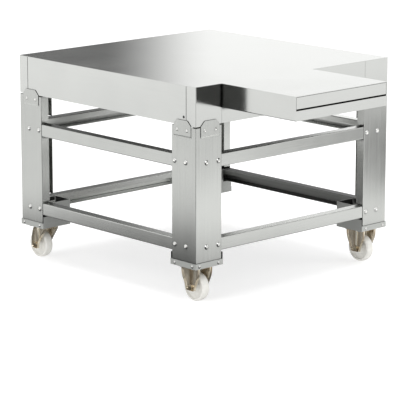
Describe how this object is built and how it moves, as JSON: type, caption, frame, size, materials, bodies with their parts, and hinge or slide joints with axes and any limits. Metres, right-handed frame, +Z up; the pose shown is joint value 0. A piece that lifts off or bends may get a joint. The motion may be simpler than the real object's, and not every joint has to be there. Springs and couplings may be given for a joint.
{
  "type": "outdoor oven table",
  "caption": "Square stainless sheet stand on castors with a boxed top for an outdoor oven, bolted rails, and a front ledge with a slide-out crumb tray.",
  "frame": {"origin": "on the floor, under the middle of the whole table with its ledge", "axes": "+X to the right side, +Y to the back, away from the ledge, +Z up"},
  "size_m": [0.9492, 1.3064, 0.753],
  "materials": {
    "stainless_sheet": "satin",
    "folded_steel_inside": "satin",
    "bright_screws": "polished",
    "plated_hardware": "plated",
    "passivated_castor_steel": "yellow zinc",
    "nylon_wheel": "satin",
    "bush_steel": "ground",
    "black_plug": "satin",
    "axle_steel": "plated"
  },
  "bodies": {
    "stand": {"leg_front_left": "stainless_sheet", "leg_front_right": "stainless_sheet", "leg_back_left": "stainless_sheet", "leg_back_right": "stainless_sheet", "foot_tray_front_left": "stainless_sheet", "foot_tray_front_right": "stainless_sheet", "foot_tray_back_left": "stainless_sheet", "foot_tray_back_right": "stainless_sheet", "upper_rail_front": "stainless_sheet", "upper_rail_back": "stainless_sheet", "upper_rail_left": "stainless_sheet", "upper_rail_right": "stainless_sheet", "lower_rail_front": "stainless_sheet", "lower_rail_back": "stainless_sheet", "lower_rail_left": "stainless_sheet", "lower_rail_right": "stainless_sheet", "rail_bolts": "bright_screws", "rail_nuts": "plated_hardware", "ear_screws": "bright_screws", "tray_screws": "bright_screws", "screw_nuts": "plated_hardware", "side_panel_left": "stainless_sheet", "side_panel_right": "stainless_sheet", "side_plugs": "black_plug", "corner_panel_left": "stainless_sheet", "corner_panel_right": "stainless_sheet", "front_panel": "stainless_sheet", "back_panel": "stainless_sheet", "deck": "stainless_sheet", "bearer_left": "folded_steel_inside", "bearer_right": "folded_steel_inside", "ledge_shell": "stainless_sheet", "ledge_top": "stainless_sheet", "ledge_bolts": "bright_screws", "tray_runners": "folded_steel_inside", "bracket_front_left": "passivated_castor_steel", "bracket_front_right": "passivated_castor_steel", "swivel_plate_left": "passivated_castor_steel", "swivel_plate_right": "passivated_castor_steel", "swivel_race_left": "passivated_castor_steel", "swivel_race_right": "passivated_castor_steel", "kingpin_left": "axle_steel", "kingpin_right": "axle_steel", "bush_front_left": "bush_steel", "bush_front_right": "bush_steel", "axle_front_left": "axle_steel", "axle_front_right": "axle_steel", "castor_bolts": "plated_hardware"},
    "crumb_tray": {"crumb_pan": "stainless_sheet", "crumb_front": "stainless_sheet"},
    "wheel_fl": {"wheel_front_left": "nylon_wheel"},
    "wheel_fr": {"wheel_front_right": "nylon_wheel"},
    "fork_l": {"fork_back_left": "passivated_castor_steel", "bush_back_left": "bush_steel", "axle_back_left": "axle_steel"},
    "fork_r": {"fork_back_right": "passivated_castor_steel", "bush_back_right": "bush_steel", "axle_back_right": "axle_steel"},
    "wheel_bl": {"wheel_back_left": "nylon_wheel"},
    "wheel_br": {"wheel_back_right": "nylon_wheel"}
  },
  "joints": [
    {"name": "crumb_tray_slide", "type": "slide", "parent": "stand", "child": "crumb_tray", "axis": [0, -1, 0], "range_m": [0, 0.26]},
    {"name": "wheel_front_left_spin", "type": "hinge", "parent": "stand", "child": "wheel_fl", "pos_m": [-0.4085, -0.24175, 0.05], "axis": [1, 0, 0], "continuous": true},
    {"name": "wheel_front_right_spin", "type": "hinge", "parent": "stand", "child": "wheel_fr", "pos_m": [0.4085, -0.24175, 0.05], "axis": [1, 0, 0], "continuous": true},
    {"name": "castor_back_left_swivel", "type": "hinge", "parent": "stand", "child": "fork_l", "pos_m": [-0.4085, 0.57525, 0.11], "axis": [0, 0, 1], "continuous": true},
    {"name": "castor_back_right_swivel", "type": "hinge", "parent": "stand", "child": "fork_r", "pos_m": [0.4085, 0.57525, 0.11], "axis": [0, 0, 1], "continuous": true},
    {"name": "wheel_back_left_spin", "type": "hinge", "parent": "fork_l", "child": "wheel_bl", "pos_m": [-0.4085, 0.60325, 0.05], "axis": [1, 0, 0], "continuous": true},
    {"name": "wheel_back_right_spin", "type": "hinge", "parent": "fork_r", "child": "wheel_br", "pos_m": [0.4085, 0.60325, 0.05], "axis": [1, 0, 0], "continuous": true}
  ]
}
